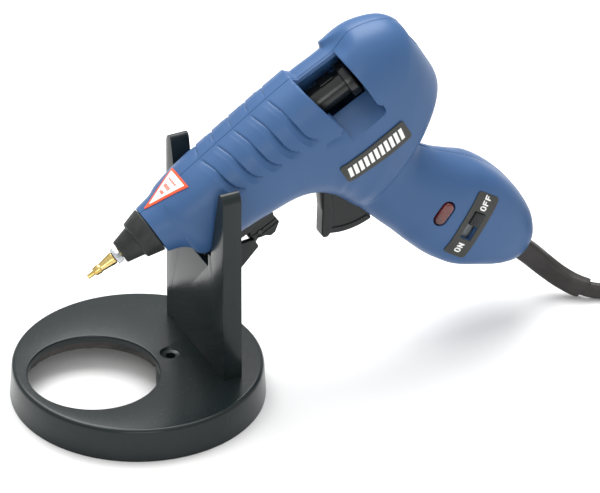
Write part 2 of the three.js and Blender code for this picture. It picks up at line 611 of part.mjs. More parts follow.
// The opening in the butt that grips the sleeve, in the gun's frame.
function sleeveHole() {
  const g = geometryOf(flat(SLEEVE_ENDS[0] - 0.03, 0.42, SLEEVE_W + 0.9, SLEEVE_T + 0.9, 5, 12));
  g.translate(-TIP[0], 0, -TIP[1]).rotateY(TILT);
  return solid(g);
}

function cord() {
  put(root, "strain_relief", cut(
    flat(...SLEEVE_ENDS, SLEEVE_W, SLEEVE_T, 7, 12),
    flat(SLEEVE_ENDS[0] - 0.05, SLEEVE_ENDS[1] + 0.05, CORD_W + 0.8, CORD_T + 0.8, 9, 10),
  ), DARK());
  put(root, "power_cord", flat(0, 1, CORD_W, CORD_T, 18, 10), DARK());
  put(root, "cord_coil", turnedUp([
    [COIL_IN + 3, 0.1], [COIL_OUT - 2, 0.1], [COIL_OUT, 2.5], [COIL_OUT, COIL_H - 3], [COIL_OUT - 3, COIL_H],
    [COIL_IN + 3, COIL_H], [COIL_IN, COIL_H - 3], [COIL_IN, 3], [COIL_IN + 3, 0.1],
  ], ...COIL, 32), DARK());
  const plug = join(
    prism([[-13, 0.2], [9, 0.2], [13, 2.4], [13, 11.8], [9, 14], [-9, 14], [-13, 10.5]], -11.5, 11.5),
  );
  const place = (g) => g.rotateZ(PLUG_TURN).translate(...PLUG, 0);
  put(root, "plug_body", place(geometryOf(plug)), DARK());
  [6.35, -6.35].forEach((y, i) =>
    put(root, `plug_blade_${i + 1}`, place(geometryOf(box(13.3, 29, y - 0.75, y + 0.75, 3.9, 10.2))), BRASS()));
  put(gun, "terminal_block", box(156, 170, -7, 7, -134.6, -127.5), mat(0xd6d2c6, 0.6));
}

stand();
housings();
barrelParts();
trigger();
sideParts();
bracket();
cord();

export default root;
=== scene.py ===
"""Looks of the hot glue gun resting in its fork stand: fine pieces and materials over the
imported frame. Meshes are worked out in millimetres, in the stand's frame or in the gun's
own turned frame (x back along the barrel from the nozzle tip, y to the gun's right, z
square to the barrel). piece() turns them into the row's metres."""
from math import acos, ceil, copysign, cos, exp, hypot, pi, radians, sin, sqrt, tan

import bpy
import bmesh
import numpy as np
from mathutils import Matrix, Vector
from mathutils.bvhtree import BVHTree


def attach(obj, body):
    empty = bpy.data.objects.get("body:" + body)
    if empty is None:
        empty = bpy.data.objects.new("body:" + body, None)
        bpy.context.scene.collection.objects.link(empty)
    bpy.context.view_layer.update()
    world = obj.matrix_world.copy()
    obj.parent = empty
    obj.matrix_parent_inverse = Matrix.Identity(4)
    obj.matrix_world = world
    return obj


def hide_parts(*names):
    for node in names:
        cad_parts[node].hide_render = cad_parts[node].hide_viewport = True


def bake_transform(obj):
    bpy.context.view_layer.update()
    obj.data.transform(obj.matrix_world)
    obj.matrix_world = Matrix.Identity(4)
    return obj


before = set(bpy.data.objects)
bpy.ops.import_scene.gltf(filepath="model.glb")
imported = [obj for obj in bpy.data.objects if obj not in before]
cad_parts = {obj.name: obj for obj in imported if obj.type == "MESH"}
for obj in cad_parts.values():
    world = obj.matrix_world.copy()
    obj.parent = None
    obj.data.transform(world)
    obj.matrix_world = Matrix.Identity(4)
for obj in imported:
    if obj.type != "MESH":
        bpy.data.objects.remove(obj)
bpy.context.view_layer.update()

# ---- frames ----
MM = 0.001
TILT = radians(29.2)
TIP = (-63.5, 75.15)
GUN = Matrix(((cos(TILT), 0, -sin(TILT), TIP[0]),
              (0, 1, 0, 0),
              (sin(TILT), 0, cos(TILT), TIP[1]),
              (0, 0, 0, 1)))


def placed(name, data):
    """A new object in the scene."""
    ob = bpy.data.objects.new(name, data)
    bpy.context.collection.objects.link(ob)
    return ob


def aimed(ob, at, along):
    """Puts a camera or light at a place, looking along a direction."""
    ob.location = at
    ob.rotation_mode = "QUATERNION"
    ob.rotation_quaternion = along.to_track_quat("-Z", "Y")


def around(c, u, v, turn):
    """The place (u, v) of a frame at c that is turned by an angle."""
    return (c[0] + u * cos(turn) - v * sin(turn),
            c[1] + u * sin(turn) + v * cos(turn))


def run_along(points):
    """Length of a line of points up to each of them."""
    gaps = np.linalg.norm(np.diff(points, axis=0), axis=1)
    return np.concatenate([[0], np.cumsum(gaps)])


# ---- camera ----
AZIMUTH, ELEVATION = radians(-25), radians(33)
AIM = Vector((53.5, 1.4, 60.6)) * MM
# A long lens far away: the photograph shows almost no perspective.
LENS, SENSOR = 900, 36
DISTANCE, CLIP = 7.5, (0.5, 40)


def camera():
    back = Vector((sin(AZIMUTH) * cos(ELEVATION),
                   -cos(AZIMUTH) * cos(ELEVATION), sin(ELEVATION)))
    data = bpy.data.cameras.new("camera")
    data.lens, data.sensor_width = LENS, SENSOR
    data.clip_start, data.clip_end = CLIP
    cam = placed("camera", data)
    aimed(cam, AIM + back * DISTANCE, -back)
    bpy.context.scene.camera = cam


# ---- materials ----
def linear(hex_colour):
    out = []
    for k in (0, 2, 4):
        c = int(hex_colour[k:k + 2], 16) / 255
        out.append(c / 12.92 if c <= 0.04045 else ((c + 0.055) / 1.055) ** 2.4)
    return (*out, 1)


def put(node, **values):
    """Sets a node's sockets; an underscore in a name stands for a space."""
    for name, value in values.items():
        node.inputs[name.replace("_", " ")].default_value = value


ROUGH_RANGE = 0.08
GRAIN_HEIGHT = 0.0004  # metres


def surface(name, dark, light, rough, scale, grain, bump, metal=0.0, stretch=(1, 1, 1),
            **sockets):
    """Colour that drifts between two tones, fine grain in the bump, uneven roughness."""
    m = bpy.data.materials.new(name)
    m.use_nodes = True
    n, link = m.node_tree.nodes, m.node_tree.links.new
    shader = n["Principled BSDF"]
    where = n.new("ShaderNodeTexCoord")
    place = n.new("ShaderNodeMapping")
    put(place, Scale=stretch)
    link(where.outputs["Object"], place.inputs["Vector"])

    def noise(size, detail):
        node = n.new("ShaderNodeTexNoise")
        put(node, Scale=size, Detail=detail)
        link(place.outputs[0], node.inputs["Vector"])
        return node.outputs["Fac"]

    ramp = n.new("ShaderNodeValToRGB")
    for end, at, tone in zip(ramp.color_ramp.elements, (0.3, 0.7), (dark, light)):
        end.position, end.color = at, linear(tone)
    link(noise(scale, 4), ramp.inputs["Fac"])
    link(ramp.outputs["Color"], shader.inputs["Base Color"])

    fine = noise(grain, 3)
    uneven = n.new("ShaderNodeMapRange")
    put(uneven, To_Min=rough - ROUGH_RANGE, To_Max=rough + ROUGH_RANGE)
    link(fine, uneven.inputs["Value"])
    link(uneven.outputs[0], shader.inputs["Roughness"])
    raised = n.new("ShaderNodeBump")
    put(raised, Strength=bump, Distance=GRAIN_HEIGHT)
    link(fine, raised.inputs["Height"])
    link(raised.outputs[0], shader.inputs["Normal"])
    put(shader, Metallic=metal, **sockets)
    return m


SPECULAR = "Specular_IOR_Level"
# Material name, dark and light tone, roughness, noise scales of the drift and the grain,
# strength of the grain, and what else the shader needs.
FINISHES = {
    "blue": ("blue_abs", "34547e", "3a5c88", 0.42, 14, 1500, 0.04, {SPECULAR: 0.34}),
    # Lighter copy of the housing blue: painted light that brightens the shaded wall seen
    # through the window.
    "blue_inside_painted_light": ("blue_abs_inside_painted_light", "4c80c0", "558ac8", 0.55, 14, 1500, 0.04, {}),
    "black": ("stand_black", "181f20", "1f2627", 0.24, 30, 1200, 0.02, {SPECULAR: 0.26}),
    "rubber": ("boot_rubber", "191c1c", "2c302e", 0.55, 160, 1400, 0.12, {SPECULAR: 0.35}),
    "trigger": ("trigger_black", "111515", "191e1e", 0.36, 60, 1200, 0.05,
                {SPECULAR: 0.35}),
    "brass": ("nozzle_brass", "c2a35c", "e6d090", 0.24, 140, 900, 0.05,
              {"metal": 1.0, "stretch": (1, 1, 4)}),
    "steel": ("steel", "a9adb0", "cfd3d6", 0.28, 200, 1200, 0.04, {"metal": 1.0}),
    "aluminium": ("cast_aluminium", "a2a4a6", "bfc1c3", 0.45, 120, 800, 0.2,
                  {"metal": 1.0}),
    "iron": ("weight_iron", "3a3a3a", "565350", 0.7, 60, 500, 0.4, {"metal": 0.6}),
    "inner": ("inner_dark", "232424", "303232", 0.6, 80, 900, 0.06, {}),
    "carriage": ("carriage_black", "101212", "1b1e1e", 0.24, 80, 900, 0.04, {}),
    "ceramic": ("heater_ceramic", "c9c2b2", "dfdacd", 0.7, 90, 700, 0.15, {}),
    "silicone": ("sleeve_silicone", "873b2c", "a04c3a", 0.5, 90, 700, 0.05, {}),
    "label": ("label_dark", "262823", "2e302c", 0.5, 200, 1500, 0.03, {}),
    "white": ("label_white", "e9e9e6", "f6f6f4", 0.5, 200, 1500, 0.03, {}),
    "orange": ("label_orange", "f0481f", "fb5a2c", 0.5, 200, 1500, 0.03, {}),
    "lamp": ("lamp_red", "501412", "742420", 0.22, 350, 1200, 0.1,
             {"stretch": (1, 1, 0.25), "Transmission_Weight": 0.25, "Coat_Weight": 0.4,
              "Coat_Roughness": 0.12}),
    "bulb": ("bulb_glass", "d8c7bb", "efe2d6", 0.2, 90, 900, 0.02, {}),
    "slider": ("slider_black", "14181a", "1f2426", 0.35, 120, 1200, 0.05, {}),
    "floor_plate": ("switch_floor", "8f9598", "c3c8ca", 0.4, 150, 900, 0.05, {}),
    "cord": ("cord_pvc", "211e1d", "2d2a29", 0.45, 120, 1300, 0.06, {SPECULAR: 0.4}),
}
MATERIALS = {}


def materials():
    for key, (*look, more) in FINISHES.items():
        MATERIALS[key] = surface(*look, **more)


# ---- meshes ----
def blank(verts, faces):
    """A bare object holding a mesh in millimetres, with its faces pointing out."""
    mesh = bpy.data.meshes.new("work")
    mesh.from_pydata([tuple(map(float, v)) for v in verts], [], [tuple(f) for f in faces])
    bm = bmesh.new()
    bm.from_mesh(mesh)
    bmesh.ops.remove_doubles(bm, verts=bm.verts, dist=1e-5)
    bmesh.ops.recalc_face_normals(bm, faces=bm.faces)
    bm.to_mesh(mesh)
    bm.free()
    return placed("work", mesh)


def applied(ob):
    """Replaces the mesh by what its modifiers make of it."""
    bpy.context.view_layer.update()
    deps = bpy.context.evaluated_depsgraph_get()
    new = bpy.data.meshes.new_from_object(ob.evaluated_get(deps))
    ob.modifiers.clear()
    old, ob.data = ob.data, new
    bpy.data.meshes.remove(old)
    return ob


def combine(ob, tool, operation):
    """Boolean of a mesh with a tool, which is used up."""
    m = ob.modifiers.new("boolean", "BOOLEAN")
    m.object, m.operation, m.solver = tool, operation, "MANIFOLD"
    applied(ob)
    mesh = tool.data
    bpy.data.objects.remove(tool)
    bpy.data.meshes.remove(mesh)
    return ob


def cut(ob, *tools):
    for tool in tools:
        combine(ob, tool, "DIFFERENCE")
    return ob


def join(ob, *others):
    for other in others:
        combine(ob, other, "UNION")
    return ob


def bevelled(ob, width, segments=3, angle=35):
    """Rounds every edge that is sharper than the angle in degrees."""
    m = ob.modifiers.new("bevel", "BEVEL")
    m.width, m.segments = width, segments
    m.limit_method, m.angle_limit = "ANGLE", radians(angle)
    return applied(ob)


def paint(mesh, material):
    mesh.materials.clear()
    mesh.materials.append(MATERIALS[material])


def piece(ob, name, material, replaces=None, body="gun", sharp=32, flat_over=None):
    """Turns a worked mesh into a finished piece of the row. Edges over sharp degrees show,
    and faces over flat_over square metres are shaded flat. What rides on the stand, or
    blends to it, is worked in the stand's frame, the rest in the gun's."""
    turn = Matrix.Identity(4) if body in (None, "stand") else GUN
    ob.name = ob.data.name = name
    ob.data.transform(Matrix.Scale(MM, 4) @ turn)
    ob.data.shade_smooth()
    ob.data.set_sharp_from_angle(angle=radians(sharp))
    if flat_over:
        for face in ob.data.polygons:
            face.use_smooth = face.area < flat_over
    paint(ob.data, material)
    if body is not None:
        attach(ob, body)
    if replaces:
        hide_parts(replaces)
    return ob


def rounded(points, radius, steps=5, closed=True):
    """The polygon with its corners rounded; radius is one number or one for each corner."""
    out, n = [], len(points)
    radii = radius if hasattr(radius, "__len__") else [radius] * n
    for i, p in enumerate(points):
        if not closed and i in (0, n - 1) or radii[i] <= 0:
            out.append(tuple(p))
            continue
        p = Vector(p)
        a, b = Vector(points[i - 1]) - p, Vector(points[(i + 1) % n]) - p
        la, lb = a.length, b.length
        a, b = a / la, b / lb
        half = acos(max(-1, min(1, a.dot(b)))) / 2
        run = min(radii[i] / max(tan(half), 1e-6), 0.47 * la, 0.47 * lb)
        start, end = p + a * run, p + b * run
        for k in range(steps + 1):
            u = k / steps
            out.append(tuple(start * (1 - u) ** 2 + p * 2 * u * (1 - u) + end * u * u))
    return out


def between_ends(n, verts):
    """Closed body from a polygon of n points and its copy at the other end."""
    faces = [list(range(n)), list(range(2 * n - 1, n - 1, -1))]
    faces += [[i, (i + 1) % n, n + (i + 1) % n, n + i] for i in range(n)]
    return blank(verts, faces)


def prism(points, y0, y1):
    """Polygon in the x-z plane from y0 to y1."""
    return between_ends(len(points), [(x, y, z) for y in (y0, y1) for x, z in points])


def slab(points, x0, x1):
    """Polygon in the y-z plane from x0 to x1."""
    return between_ends(len(points), [(x, y, z) for x in (x0, x1) for y, z in points])


def turned(profile, sides=96, axis="x", at=(0, 0)):
    """Closed profile of (radius, place along the axis), turned about x at (y, z), or about
    y at (x, z), or about z at (x, y). Radius 0 ends lie on the axis."""
    rings, verts, faces = [], [], []
    for r, t in profile:
        ring = []
        for k in range(1 if r <= 1e-9 else sides):
            f = 2 * pi * k / sides
            u, v = at[0] + r * cos(f), at[1] + r * sin(f)
            ring.append(len(verts))
            verts.append({"x": (t, u, v), "y": (u, t, v), "z": (u, v, t)}[axis])
        rings.append(ring)
    on_axis = len(rings[0]) == 1 or len(rings[-1]) == 1
    for i in range(len(rings) - (1 if on_axis else 0)):
        a, b = rings[i], rings[(i + 1) % len(rings)]
        for k in range(sides):
            quad = [a[k % len(a)], a[(k + 1) % len(a)], b[(k + 1) % len(b)], b[k % len(b)]]
            quad = [q for j, q in enumerate(quad) if q != quad[j - 1]]
            if len(set(quad)) > 2:
                faces.append(quad)
    return blank(verts, faces)


def drum(r, start, end, sides=64, axis="x", at=(0, 0), edges=(0, 0)):
    """Cylinder of radius r along an axis; edges are the radii of its two rims."""
    profile = [(0, start), (r, start), (r, end), (0, end)]
    return turned(rounded(profile, [0, *edges, 0], 4), sides, axis, at)


def swept(rings):
    """Closed body through rings with equal counts of points, with flat ends."""
    n = len(rings[0])
    verts = [p for ring in rings for p in ring]
    faces = [list(range(n)), [len(verts) - 1 - k for k in range(n)]]
    for i in range(len(rings) - 1):
        for k in range(n):
            a, b = i * n + k, i * n + (k + 1) % n
            faces.append([a, b, b + n, a + n])
    return blank(verts, faces)


def oblong(c, long, wide, turn, steps=12):
    """Slot shape with round ends, centred on c and turned by an angle."""
    points = []
    for end in (0, 1):
        for k in range(steps + 1):
            f = pi * (end + k / steps) - pi / 2
            u = (long - wide) / 2 * (-1 if end else 1) + wide / 2 * cos(f)
            points.append(around(c, u, wide / 2 * sin(f), turn))
    return points


def rectangle(c, long, wide, turn):
    """Rectangle centred on c and turned by an angle."""
    return [around(c, i * long / 2, j * wide / 2, turn)
            for i, j in ((-1, -1), (1, -1), (1, 1), (-1, 1))]


# ---- cord ----
CORD_W, CORD_T, CORD_LENGTH = 8.4, 4.4, 1.6  # mm, mm and metres
ROUTE = [(157, 0, 42), (168, -0.4, 34.3), (178.5, -1.2, 25), (186.5, -4.2, 16.6),
         (193.5, -9.6, 10.4), (200, -15.6, 6.9), (206.5, -20.2, 5.1), (213, -23.2, 4.5),
         (222, -27.4, 4.4), (237.3, -34.7, 4.4)]
COIL = (279.7, -1.8)
COIL_R = (47.8, 36.2)  # first and innermost turn
LAYERS = (4.4, 12.9)  # heights of the lower and upper turns
COIL_FROM = 244.8  # degrees round the coil where the lead joins it
COIL_TURNS = 5.278
CLIMB = 75.0  # degrees of turn over which the lead climbs to the upper layer
STEPS_PER_TURN = 40
PLUG = (338.6, 33.2)
PLUG_TURN = radians(75)
PLUG_REAR, PLUG_AXIS = 12, 7.1  # where the lead enters the plug


def smooth_route(per_span):
    """Centripetal curve through the route's points, as in the CAD."""
    p = [np.array(x, float) for x in ROUTE]
    p = [2 * p[0] - p[1], *p, 2 * p[-1] - p[-2]]
    out = []
    for i in range(1, len(p) - 2):
        t = [0.0]
        for k in range(3):
            t.append(t[-1] + max(np.linalg.norm(p[i + k] - p[i + k - 1]), 1e-6) ** 0.5)
        for s in range(per_span):
            u = t[1] + (t[2] - t[1]) * s / per_span
            a = [((t[k + 1] - u) * p[i - 1 + k] + (u - t[k]) * p[i + k]) / (t[k + 1] - t[k])
                 for k in range(3)]
            b = [((t[k + 2] - u) * a[k] + (u - t[k]) * a[k + 1]) / (t[k + 2] - t[k])
                 for k in range(2)]
            out.append(((t[2] - u) * b[0] + (u - t[1]) * b[1]) / (t[2] - t[1]))
    out.append(p[-2])
    return out


def unit(x):
    return np.clip(x, 0, 1)


def ease(u):
    """0 to 1 with no slope at either end."""
    u = unit(u)
    return u * u * (3 - 2 * u)


def cord_line():
    """Out of the handle, down on to the table, round the coil in two layers (inwards
    below, outwards above) and off to the plug beside it."""
    line = smooth_route(3)
    first = radians(COIL_FROM)
    joins = np.array([COIL[0] + COIL_R[0] * cos(first),
                      COIL[1] + COIL_R[0] * sin(first), LAYERS[0]])
    for k in range(1, 4):
        line.append(np.array(ROUTE[-1]) + (joins - ROUTE[-1]) * k / 4)
    total = COIL_TURNS * 360
    below = (total - CLIMB) / 2
    steps = int(COIL_TURNS * STEPS_PER_TURN)
    for k in range(steps + 1):
        at = total * k / steps
        inwards = min(at, below) / below
        outwards = max(0.0, at - below - CLIMB) / below
        r = COIL_R[0] + (COIL_R[1] - COIL_R[0]) * (inwards - outwards)
        z = LAYERS[0] + (LAYERS[1] - LAYERS[0]) * ease((at - below) / CLIMB)
        f = first + radians(at)
        line.append(np.array([COIL[0] + r * cos(f), COIL[1] + r * sin(f), z]))
    end = np.array([PLUG[0] - PLUG_REAR * cos(PLUG_TURN),
                    PLUG[1] - PLUG_REAR * sin(PLUG_TURN), PLUG_AXIS])
    last = line[-1]
    for k in range(1, 9):
        u = k / 8
        p = last + (end - last) * u
        p[2] = last[2] + (end[2] - last[2]) * ease(u)
        line.append(p)
    return np.array(line)


def frames_along(line):
    """Direction, side and upright axis at each point; the side axis is always level."""
    along = np.gradient(line, axis=0)
    along /= np.linalg.norm(along, axis=1)[:, None]
    across = np.cross(along, (0, 0, 1))
    across /= np.linalg.norm(across, axis=1)[:, None]
    return along, across, np.cross(across, along)


def route_part(per_span, first, last, count):
    """Points along a share of the route, evenly spaced."""
    fine = np.array(smooth_route(per_span))
    run = run_along(fine)
    where = np.linspace(first, last, count) * run[-1]
    return np.stack([np.interp(where, run, fine[:, k]) for k in range(3)], axis=1)


def flat_ring(p, across, up, wide, thick, sides=36, grooves=0.0, power=0.6):
    """Section of a flat lead, with two grooves along it where grooves isn't 0."""
    ring = []
    for k in range(sides):
        f = 2 * pi * k / sides
        c, s = cos(f), sin(f)
        u = copysign(abs(c) ** power, c)
        v = copysign(abs(s) ** power, s)
        if grooves:
            v *= 1 - grooves * sum(exp(-((u - g) / 0.1) ** 2) for g in (-0.34, 0.34))
        ring.append(p + up * (wide / 2 * u) + across * (thick / 2 * v))
    return ring


def lead(line, *shape, **more):
    """A closed flat lead along a line."""
    return swept([flat_ring(p, a, b, *shape, **more)
                  for p, a, b in zip(line, *frames_along(line)[1:])])


def cord():
    line = cord_line()
    tube = piece(lead(line, CORD_W, CORD_T, 44, 0.3), "mains_cord", "cord",
                 body=None, sharp=60)

    # Tapered sleeve, with a slanted lower end and a gap round the lead.
    n = 40
    axis = route_part(30, 0.1, 0.62, n)
    along, across, up = frames_along(axis)
    outside, inside = [], []
    for i, (p, t, a, b) in enumerate(zip(axis, along, across, up)):
        share = i / (n - 1)
        lip = 0.35 * ease((share - 0.965) / 0.035)
        slant = -2.4 * ease((share - 0.6) / 0.4)
        outer = flat_ring(p, a, b, 11.9 - 0.9 * share - lip, 7.4 - 0.7 * share - lip,
                          power=0.5)
        inner = flat_ring(p, a, b, CORD_W + 0.7, CORD_T + 0.7)
        for ring, made in ((outer, outside), (inner, inside)):
            made.append([q - t * slant * (q - p).dot(b) / 6 for q in ring])
    rings = outside + inside[::-1]
    verts = [q for ring in rings for q in ring]
    n, m = len(rings), len(rings[0])
    faces = [[i * m + k, i * m + (k + 1) % m, (i + 1) % n * m + (k + 1) % m,
              (i + 1) % n * m + k] for i in range(n) for k in range(m)]
    sleeve = piece(blank(verts, faces), "cord_sleeve", "cord", body=None,
                   sharp=50)

    # Plug: a rounded grip with finger grooves, and two flat blades.
    to_plug = Matrix.Translation((*PLUG, 0)) @ Matrix.Rotation(PLUG_TURN, 4, "Z")
    body = slab(rounded([(-11.3, 0.2), (11.3, 0.2), (11.3, 14), (-11.3, 14)], 4), -13, 13)
    body = bevelled(body, 2, 4)
    for x in (-8, -4.6, -1.2):
        for side in (-1, 1):
            cut(body, drum(3, -3, 17, 24, "z", (x, side * 13.6)))
    body.data.transform(to_plug)
    plug = piece(body, "mains_plug", "cord", "plug_body", "stand")
    for i, y in enumerate((6.35, -6.35), 1):
        shape = rounded([(13.3, 3.9), (29, 3.9), (29, 10.2), (13.3, 10.2)], [0, 1.5, 1.5, 0])
        blade = bevelled(prism(shape, y - 0.75, y + 0.75), 0.3, 2)
        cut(blade, drum(1.5, y - 3, y + 3, 24, "y", (25, 7.05)))
        blade.data.transform(to_plug)
        piece(blade, f"mains_blade_{i}", "brass",
                            f"plug_blade_{i}", "stand")

    # The lead and its sleeve belong to no body; their placement is baked into the mesh.
    for ob in (tube, sleeve):
        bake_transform(ob)
    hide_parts("power_cord", "cord_coil")
    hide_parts("strain_relief")


# ---- housing ----
WALL, SPLIT = 2.5, 0.15
# Sections along the bent spine: outer x z, inner x z, half width, squareness, wall at the
# outer point, wall at the inner point.
STATIONS = np.array([
    [39.75, 12.3, 39.75, -14.1, 13.2, 2, 2.5, 2.5],
    [47, 13, 47, -17.5, 15.3, 2, 2.5, 3],
    [50, 13.4, 49.8, -20.5, 16.2, 2.1, 2.5, 5],
    [52.2, 13.7, 52, -26, 18, 2.3, 2.5, 8],
    [55, 14.1, 55, -27.6, 19.2, 2.4, 2.5, 2.5],
    [66, 15.8, 66, -28.6, 21, 2.4, 2.5, 2.5],
    [80, 17.3, 80, -29.5, 22, 2.4, 2.5, 2.5],
    [95, 18.8, 95, -31.7, 22.6, 2.4, 2.5, 2.5],
    [108, 20, 105, -33.6, 23, 2.4, 2.5, 2.5],
    [120, 21.2, 111.5, -36.5, 23, 2.4, 2.5, 2.5],
    [132, 22.1, 116, -40, 23.2, 2.4, 2.5, 2.5],
    [146, 22.8, 119, -43.5, 23.6, 2.4, 2.5, 2.5],
    [160, 22.6, 121, -46.5, 24, 2.4, 2.8, 2.5],
    [164.5, 22.6, 122, -48, 24.5, 2.4, 3, 2.5],
    [176, 23.6, 123.2, -50.5, 24.7, 2.35, 2.5, 2.5],
    [187.2, 20.6, 124.3, -53, 24.6, 2.4, 2.5, 2.5],
    [196.8, 13.8, 125.3, -55.5, 24, 2.4, 2.5, 2.5],
    [200.7, 4, 126.2, -58, 23.5, 2.4, 2.5, 2.5],
    [201, -8, 127, -60.5, 23, 2.4, 2.5, 2.5],
    [201, -22, 127.7, -63, 21.6, 2.3, 3, 2.5],
    [199.4, -32.5, 128.4, -65.5, 20, 2.15, 4.5, 2.5],
    [194, -40.4, 129, -68, 17, 1.95, 14, 2.5],
    [180.5, -46.2, 129.6, -70.5, 14.6, 1.95, 9, 2.5],
    [174.6, -51.5, 130.5, -73, 14.2, 2, 4.2, 2.5],
    [173, -60, 131.8, -77, 14.8, 2.05, 3.2, 2.5],
    [177.2, -70, 133.8, -83, 15.6, 2.3, 2.8, 2.5],
    [185.5, -82, 136.6, -92, 17.2, 2.6, 2.8, 2.5],
    [192.4, -92.6, 139.2, -101.6, 18.6, 3.3, 2.5, 2.5],
    [198.2, -108, 142.8, -114, 19.3, 3.3, 2.5, 2.5],
    [200.6, -124, 148.4, -126.4, 19, 3.3, 2.5, 2.5],
    [198.8, -141.2, 158.2, -138.8, 17.3, 2.6, 2.5, 2.5],
    [193.2, -150.8, 168, -148.6, 13.5, 2.4, 3.5, 3.5],
    [187, -155.2, 174.5, -153.6, 8.5, 2.2, 2.5, 2.5],
    [183, -156.5, 179, -156, 3, 2, 1, 1],
])
SCREWS = [(72, -21.5), (108, -25.5), (122, 14.2), (186, -33.5), (146, -88.5), (164, -139)]
PIVOT = (133.5, -44)
SWITCH, SWITCH_TURN = (170.3, -110.6), radians(27)
LAMP, LAMP_TURN = (162.3, -94.2), radians(27) - 0.1
SLIDER_AT = 3.9
SHELL_PARTS = 104  # points of a section from its outer to its inner point
GUIDE_R = 7.75
STICK_R = 6.2  # bore for the glue stick
# Ribs: where each crescent's corner is, along the barrel and down its flank.
RIBS = [(84.2, -9.5), (94.8, -10.4), (106, -11.65), (117.1, -12.25), (128.2, -13.1)]
# Path of a crescent from top to bottom: distances back from its corner, with shares of
# the height above and then distances up from the corner.
RIB_UPPER = ((-4.6, 1), (-2.2, 0.35))
RIB_LOWER = ((-0.7, 3.6), (0.1, 0.9), (0.9, -0.6), (2.2, -2), (4.3, -3.7))
RIB_WIDTH, RIB_DEPTH = 3.6, (0.25, 1.5)  # its depth at the top and lower down
RIB_FADE = (0.36, 0.6)  # shares of its length between which the depth grows
RIB_LINE = (0.45, 0.38)  # depth and half width of the fine line along its edge
EDGE_EASE = (0.45, 0.12)  # width and depth of the eased edge at the parting line
WINDOW_EASE = 0.55  # radius of the eased edge round the window
WINDOW_TOP = 1.4  # the window begins this far to the left of the parting plane
WINDOW_CREST = 22.3  # height of the window's front edge where it starts to slope
WINDOW_FRONT, RECESS_FRONT = 139.6, 139.3  # places of the two front edges at the crest
WINDOW_SLOPE = (5.8, 29.9)  # run and fall of those edges
SCOOP = ((8.2, -7.2), 0.425)  # inner edge (y, z) and slope of the window's floor
WINDOW_REAR = [(163, -20), (168, -12), (168.1, -9.1), (166, -6), (166.1, 4), (165.4, 14),
               (164.6, 21), (164.4, 40)]


STEPS = np.diff(STATIONS, axis=0)
GAPS = np.maximum(np.hypot(*STEPS[:, :2].T), np.hypot(*STEPS[:, 2:4].T))


def knots():
    """Station numbers to sample, closer together where the barrel has its details."""
    parts = []
    for i, gap in enumerate(GAPS):
        n = max(2, ceil(gap / (0.45 if 6 <= i <= 13 else 1.1)))
        parts.append(i + np.arange(n) / n)
    return np.concatenate(parts + [[len(GAPS)]])


def sections_at(t):
    """Smooth sections at station numbers t, without overshoot."""
    s, gap = STATIONS, GAPS
    d = STEPS / gap[:, None]
    m = np.zeros_like(s)
    m[0], m[-1] = d[0], d[-1]
    w = (gap[:-1] / (gap[:-1] + gap[1:]))[:, None]
    m[1:-1] = d[:-1] * (1 - w) + d[1:] * w
    limit = 3 * np.minimum(np.abs(d[:-1]), np.abs(d[1:]))
    m[1:-1] = np.where(d[:-1] * d[1:] <= 0, 0, np.clip(m[1:-1], -limit, limit))
    i = np.minimum(t.astype(int), len(s) - 2)
    u = (t - i)[:, None]
    h = gap[i][:, None]
    return ((2 * u**3 - 3 * u**2 + 1) * s[i] + (u**3 - 2 * u**2 + u) * h * m[i]
            + (-2 * u**3 + 3 * u**2) * s[i + 1] + (u**3 - u**2) * h * m[i + 1])


def half_sections(side, inset, plane, t, count, forward=0.0):
    """Grid of points, one row for each station number: superellipses from the outer point
    round to the inner one. inset is 1 for the inside of the wall; forward is how far the
    first row is brought forward."""
    s = sections_at(t)
    s[0, [0, 2]] -= forward
    line = s[:, 2:4] - s[:, 0:2]
    long = np.linalg.norm(line, axis=1)
    line /= long[:, None]
    start = inset * s[:, 6]
    half = (long - inset * (s[:, 6] + s[:, 7])) / 2
    width = np.maximum(s[:, 4] - inset * WALL, 0.4)
    f = np.pi * np.arange(count + 1) / count
    c, e = np.cos(f), np.sin(f)
    c[0], c[-1], e[0], e[-1] = 1, -1, 0, 0
    power = (2 / s[:, 5])[:, None]
    place = start[:, None] + half[:, None] * (1 - np.sign(c) * np.abs(c) ** power)
    out = np.abs(e) ** power
    y = side * (plane + (width - plane)[:, None] * out)
    return np.stack([s[:, 0:1] + line[:, 0:1] * place, y, s[:, 1:2] + line[:, 1:2] * place],
                    axis=2)


def step_between(x, a, b):
    return ease((x - a) / (b - a))


def to_polyline(points, a, q):
    """Distance to a polyline with its side, and the share of its length."""
    p = np.array(points, float)
    long = np.linalg.norm(np.diff(p, axis=0), axis=1)
    before = run_along(p)
    best = np.full(a.shape, 1e9)
    side, share = np.zeros(a.shape), np.zeros(a.shape)
    for i in range(len(p) - 1):
        d = (p[i + 1] - p[i]) / long[i]
        t = np.clip((a - p[i, 0]) * d[0] + (q - p[i, 1]) * d[1], 0, long[i])
        da, dq = a - p[i, 0] - t * d[0], q - p[i, 1] - t * d[1]
        far = np.hypot(da, dq)
        near = far < best - 1e-9
        best = np.where(near, far, best)
        side = np.where(near, np.sign(d[0] * dq - d[1] * da), side)
        share = np.where(near, (before[i] + t) / before[-1], share)
    return best * side, share


